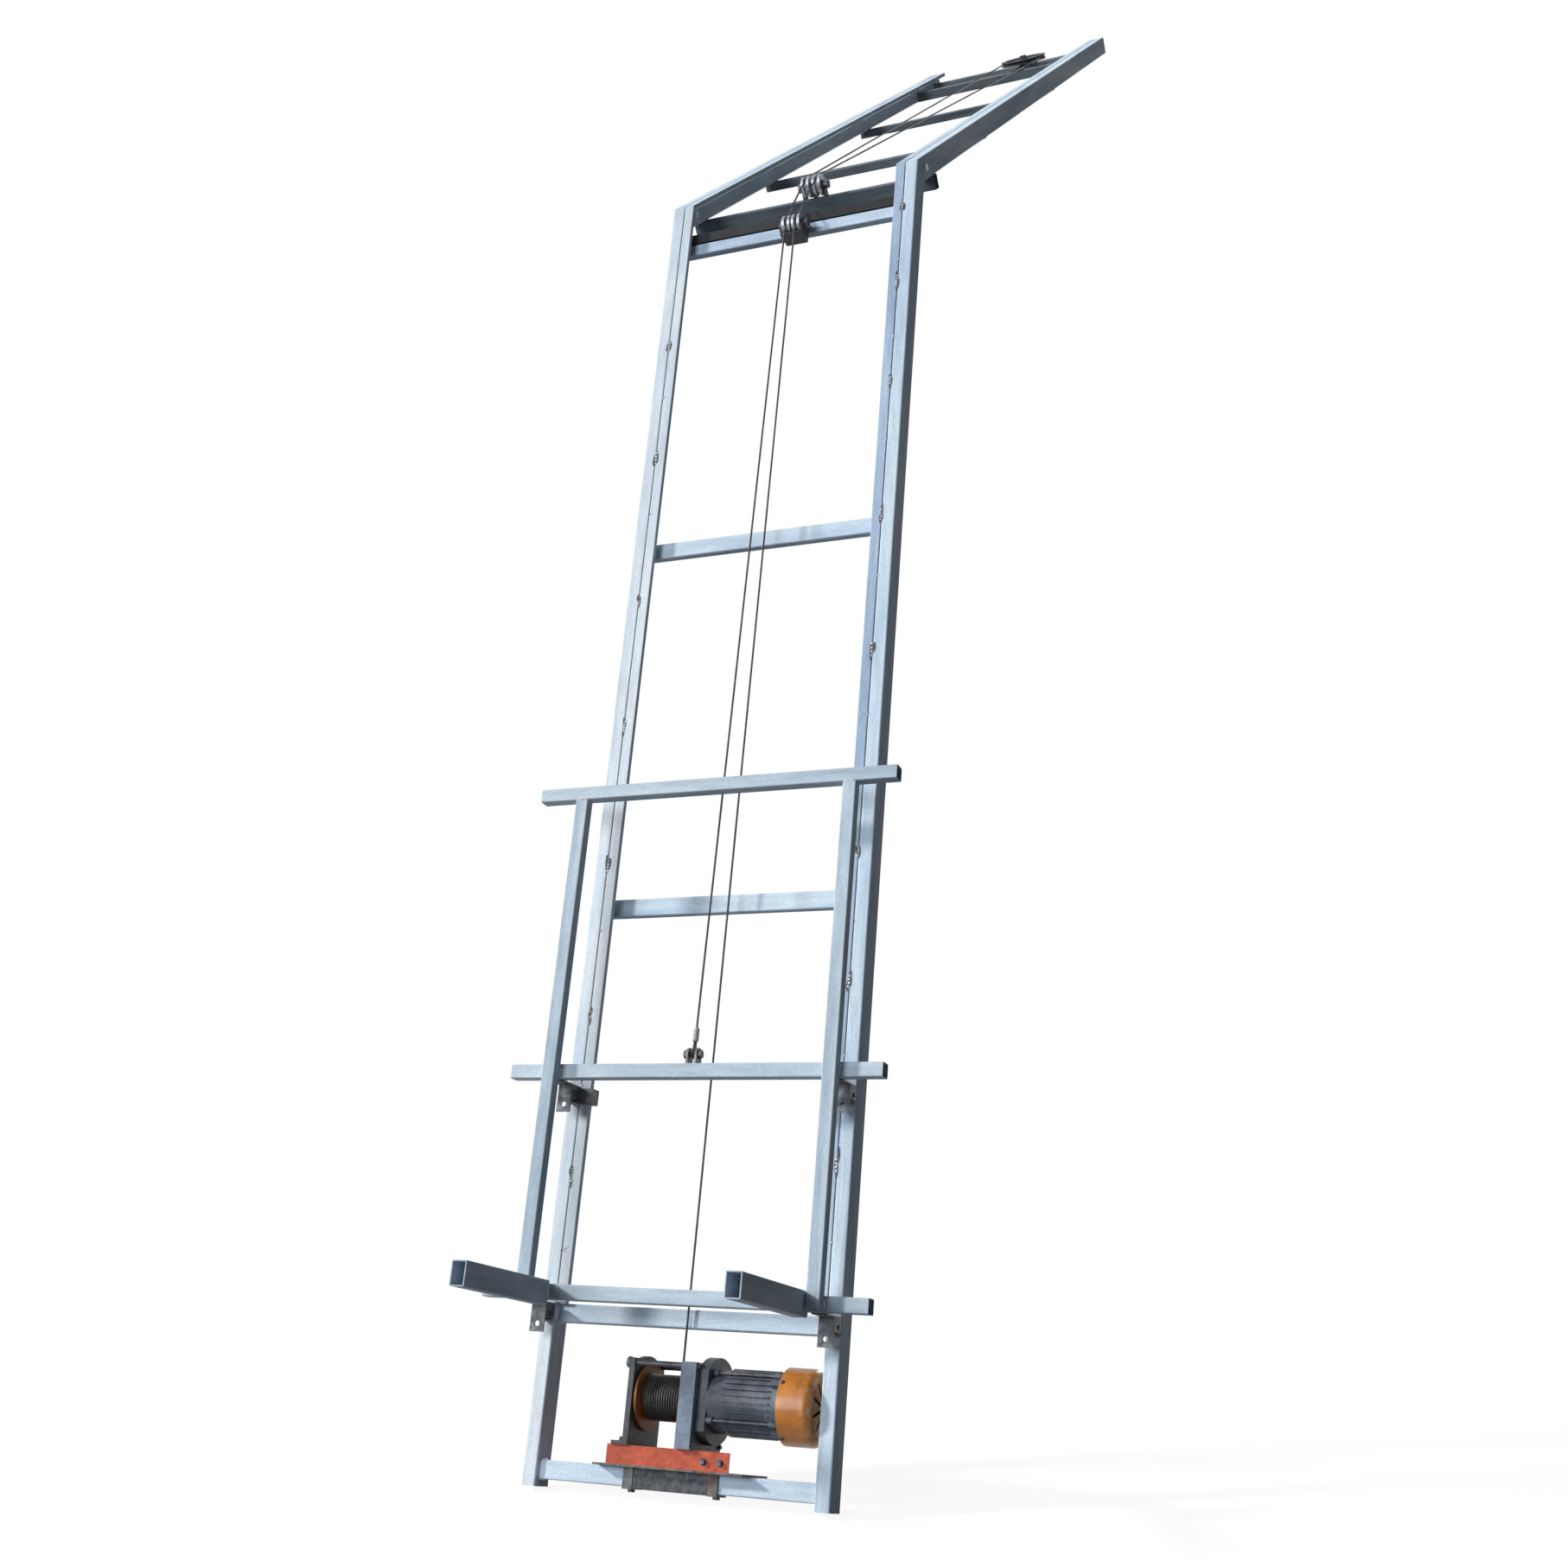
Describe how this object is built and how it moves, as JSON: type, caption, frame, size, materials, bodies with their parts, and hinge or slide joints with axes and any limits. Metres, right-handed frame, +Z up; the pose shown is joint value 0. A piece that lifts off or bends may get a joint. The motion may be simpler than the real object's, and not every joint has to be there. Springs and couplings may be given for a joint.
{
  "type": "inclined material hoist",
  "caption": "Leaning ladder-track material hoist with a bent-back roof section, a wheeled fork carriage on a rope and sheaves, and an electric drum winch in its base.",
  "frame": {"origin": "on the ground, halfway between the heels of the two rail feet", "axes": "+Z up, +Y away from the front and towards the building, +X to the right; the track leans back 15 degrees and the roof section 57.5 degrees from upright"},
  "size_m": [1.036, 4.1726, 5.4674],
  "materials": {
    "galvanised": "hot-dip galvanised, cloudy",
    "carriage": "galvanised, brighter",
    "dark_steel": "dark, dull",
    "zinc": "zinc plated, satin",
    "rope": "dark oiled wire rope",
    "sheave": "turned, satin",
    "red_base": "orange-red paint",
    "winch_grey": "dark grey paint",
    "gear_blue": "blue-grey paint",
    "motor_grey": "blue-grey paint on ribbed aluminium",
    "orange": "orange paint",
    "drum_rust": "orange-brown",
    "gear_steel": "machined",
    "stator": "laminated iron and copper",
    "ferrule": "pressed aluminium",
    "roller": "black nylon",
    "fan": "black plastic"
  },
  "bodies": {
    "track": {"left_rail": "galvanised", "right_rail": "galvanised", "guide_strips": "galvanised", "base_bar_low": "galvanised", "base_bar_top": "galvanised", "crossbars": "galvanised", "top_crossbar": "galvanised", "tie_bar": "dark_steel", "knee_sleeves": "zinc", "knee_bolts": "zinc", "left_roof_rail": "galvanised", "right_roof_rail": "galvanised", "roof_strips": "galvanised", "knee_crossbar": "galvanised", "roof_bar_low": "galvanised", "roof_bar_mid": "galvanised", "roof_bar_inner": "galvanised", "roof_bar_outer": "galvanised", "lower_yoke": "zinc", "lower_pin": "zinc", "upper_yoke": "zinc", "upper_pin": "zinc", "return_bracket": "zinc", "return_pin": "zinc", "running_rope": "rope", "winch_foot": "red_base", "winch_seat": "zinc", "end_plate": "winch_grey", "tie_rods": "zinc", "gear_case": "gear_blue", "gear_cover": "winch_grey", "motor_shell": "motor_grey", "motor_bolts": "zinc", "stator": "stator", "fan_cover": "orange", "carriage_rope": "rope"},
    "carriage": {"head_bar": "carriage", "middle_bar": "carriage", "lower_bar": "carriage", "uprights": "carriage", "forks": "carriage", "clevis": "zinc", "clevis_bolt": "zinc", "rope_eye": "ferrule", "lower_brackets": "dark_steel", "upper_brackets": "dark_steel", "roller_axles": "zinc"},
    "lower_rollers_body": {"lower_rollers": "roller"},
    "upper_rollers_body": {"upper_rollers": "roller"},
    "lower_sheave_in_body": {"lower_sheave_in": "sheave"},
    "lower_sheave_out_body": {"lower_sheave_out": "sheave"},
    "upper_sheave_in_body": {"upper_sheave_in": "sheave"},
    "upper_sheave_out_body": {"upper_sheave_out": "sheave"},
    "return_sheave_body": {"return_sheave": "sheave"},
    "drum_body": {"drum": "drum_rust", "rope_winding": "rope", "drum_gear": "gear_steel"},
    "countershaft_body": {"countershaft": "gear_steel"},
    "rotor_body": {"rotor": "gear_steel", "fan": "fan"}
  },
  "joints": [
    {"name": "carriage_slide", "type": "slide", "parent": "track", "child": "carriage", "axis": [0, 0.2588, 0.9659], "range_m": [0, 2.4], "deforming": ["carriage_rope", "running_rope"]},
    {"name": "lower_roller_spin", "type": "hinge", "parent": "carriage", "child": "lower_rollers_body", "pos_m": [0, 0.02095, 0.41937], "axis": [1, 0, 0], "continuous": true},
    {"name": "upper_roller_spin", "type": "hinge", "parent": "carriage", "child": "upper_rollers_body", "pos_m": [0, 0.16434, 0.95449], "axis": [1, 0, 0], "continuous": true},
    {"name": "lower_sheave_in_spin", "type": "hinge", "parent": "track", "child": "lower_sheave_in_body", "pos_m": [0.036, 0.87257, 3.55013], "axis": [1, 0, 0], "continuous": true},
    {"name": "lower_sheave_out_spin", "type": "hinge", "parent": "track", "child": "lower_sheave_out_body", "pos_m": [0.004, 0.87257, 3.55013], "axis": [1, 0, 0], "continuous": true},
    {"name": "upper_sheave_in_spin", "type": "hinge", "parent": "track", "child": "upper_sheave_in_body", "pos_m": [0.032, 1.06454, 3.75782], "axis": [1, 0, 0], "continuous": true},
    {"name": "upper_sheave_out_spin", "type": "hinge", "parent": "track", "child": "upper_sheave_out_body", "pos_m": [-0.006, 1.06454, 3.75782], "axis": [1, 0, 0], "continuous": true},
    {"name": "return_sheave_spin", "type": "hinge", "parent": "track", "child": "return_sheave_body", "pos_m": [0.092, 3.47846, 5.32886], "axis": [0, -0.5373, 0.8434], "continuous": true},
    {"name": "drum_spin", "type": "hinge", "parent": "track", "child": "drum_body", "pos_m": [0, 0.04645, 0.2236], "axis": [1, 0, 0], "continuous": true},
    {"name": "countershaft_spin", "type": "hinge", "parent": "track", "child": "countershaft_body", "pos_m": [0, 0.08702, 0.21272], "axis": [1, 0, 0], "continuous": true},
    {"name": "rotor_spin", "type": "hinge", "parent": "track", "child": "rotor_body", "pos_m": [0, 0.04645, 0.2236], "axis": [1, 0, 0], "continuous": true}
  ],
  "couplings": [
    {"joint": "lower_roller_spin", "follows": "carriage_slide", "rad_per_m": -55.556},
    {"joint": "upper_roller_spin", "follows": "carriage_slide", "rad_per_m": -55.556},
    {"joint": "lower_sheave_in_spin", "follows": "carriage_slide", "rad_per_m": 35.714},
    {"joint": "upper_sheave_in_spin", "follows": "carriage_slide", "rad_per_m": 35.714},
    {"joint": "lower_sheave_out_spin", "follows": "carriage_slide", "rad_per_m": -35.714},
    {"joint": "upper_sheave_out_spin", "follows": "carriage_slide", "rad_per_m": -35.714},
    {"joint": "return_sheave_spin", "follows": "carriage_slide", "rad_per_m": -10.87},
    {"joint": "drum_spin", "follows": "carriage_slide", "rad_per_m": 19.048},
    {"joint": "countershaft_spin", "follows": "carriage_slide", "rad_per_m": -69.841},
    {"joint": "rotor_spin", "follows": "carriage_slide", "rad_per_m": 349.21}
  ]
}
